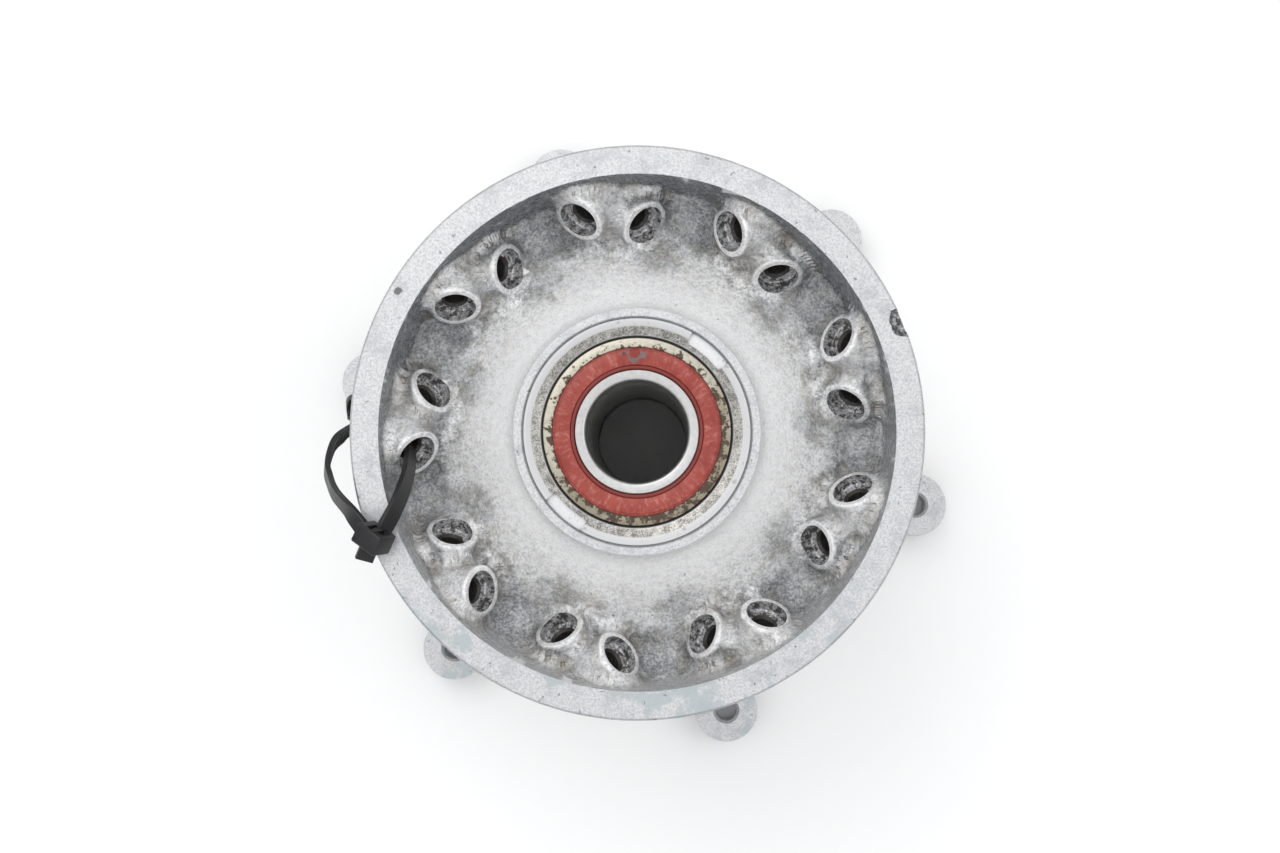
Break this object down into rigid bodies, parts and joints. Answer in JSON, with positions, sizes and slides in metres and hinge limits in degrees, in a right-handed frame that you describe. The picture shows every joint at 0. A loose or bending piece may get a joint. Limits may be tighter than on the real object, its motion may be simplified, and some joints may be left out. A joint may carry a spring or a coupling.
{
  "type": "motorcycle front wheel hub",
  "caption": "Spoked motorcycle front wheel hub: cast shell with two bell flanges of spoke seats, brake disc ears, sealed bearings, distance collar and a cable tie.",
  "frame": {"origin": "on the wheel axis, in the plane of the brake disc seats (outer faces of the six ears)", "axes": "+Z along the wheel axis from the disc side towards the plain flange"},
  "size_m": [0.1436, 0.1408, 0.1054],
  "materials": {
    "cast_aluminium": "rough sand-cast skin with grime, rim faces and boss ends machined",
    "carrier_metal": "turned ring, dull, grimy in its chamfer",
    "ring_steel_outer": "ground bearing steel with olive and rust stains",
    "ring_steel_inner": "ground bearing steel, satin",
    "ball_steel": "polished bearing steel",
    "cage_sheet": "pressed sheet steel under grease",
    "rivet_steel": "plain steel",
    "red_rubber": "brick-red moulded rubber, semi-matt",
    "collar_steel": "turned steel tube",
    "spring_steel": "phosphated spring steel",
    "dust_rubber": "black moulded rubber",
    "garter_wire": "bright spring wire",
    "black_nylon": "moulded nylon, satin"
  },
  "bodies": {
    "hub": {"hub_shell": "cast_aluminium", "bearing_carrier": "carrier_metal", "plain_outer_ring": "ring_steel_outer", "plain_seal_outer": "red_rubber", "plain_seal_inner": "red_rubber", "disc_outer_ring": "ring_steel_outer", "disc_seal_outer": "red_rubber", "disc_seal_inner": "red_rubber", "snap_ring": "spring_steel", "dust_seal": "dust_rubber", "dust_seal_spring": "garter_wire", "cable_tie": "black_nylon"},
    "axle_sleeve": {"plain_inner_ring": "ring_steel_inner", "disc_inner_ring": "ring_steel_inner", "distance_collar": "collar_steel"},
    "plain_ball_set": {"plain_balls": "ball_steel", "plain_cage_upper": "cage_sheet", "plain_cage_lower": "cage_sheet", "plain_cage_rivets": "rivet_steel"},
    "disc_ball_set": {"disc_balls": "ball_steel", "disc_cage_upper": "cage_sheet", "disc_cage_lower": "cage_sheet", "disc_cage_rivets": "rivet_steel"}
  },
  "joints": [
    {"name": "axle_sleeve_spin", "type": "hinge", "parent": "hub", "child": "axle_sleeve", "pos_m": [0, 0, 0.05575], "axis": [0, 0, 1], "continuous": true},
    {"name": "plain_ball_set_spin", "type": "hinge", "parent": "hub", "child": "plain_ball_set", "pos_m": [0, 0, 0.092], "axis": [0, 0, 1], "continuous": true},
    {"name": "disc_ball_set_spin", "type": "hinge", "parent": "hub", "child": "disc_ball_set", "pos_m": [0, 0, 0.0195], "axis": [0, 0, 1], "continuous": true}
  ],
  "couplings": [
    {"joint": "plain_ball_set_spin", "follows": "axle_sleeve_spin", "ratio": 0.41649},
    {"joint": "disc_ball_set_spin", "follows": "axle_sleeve_spin", "ratio": 0.41649}
  ]
}
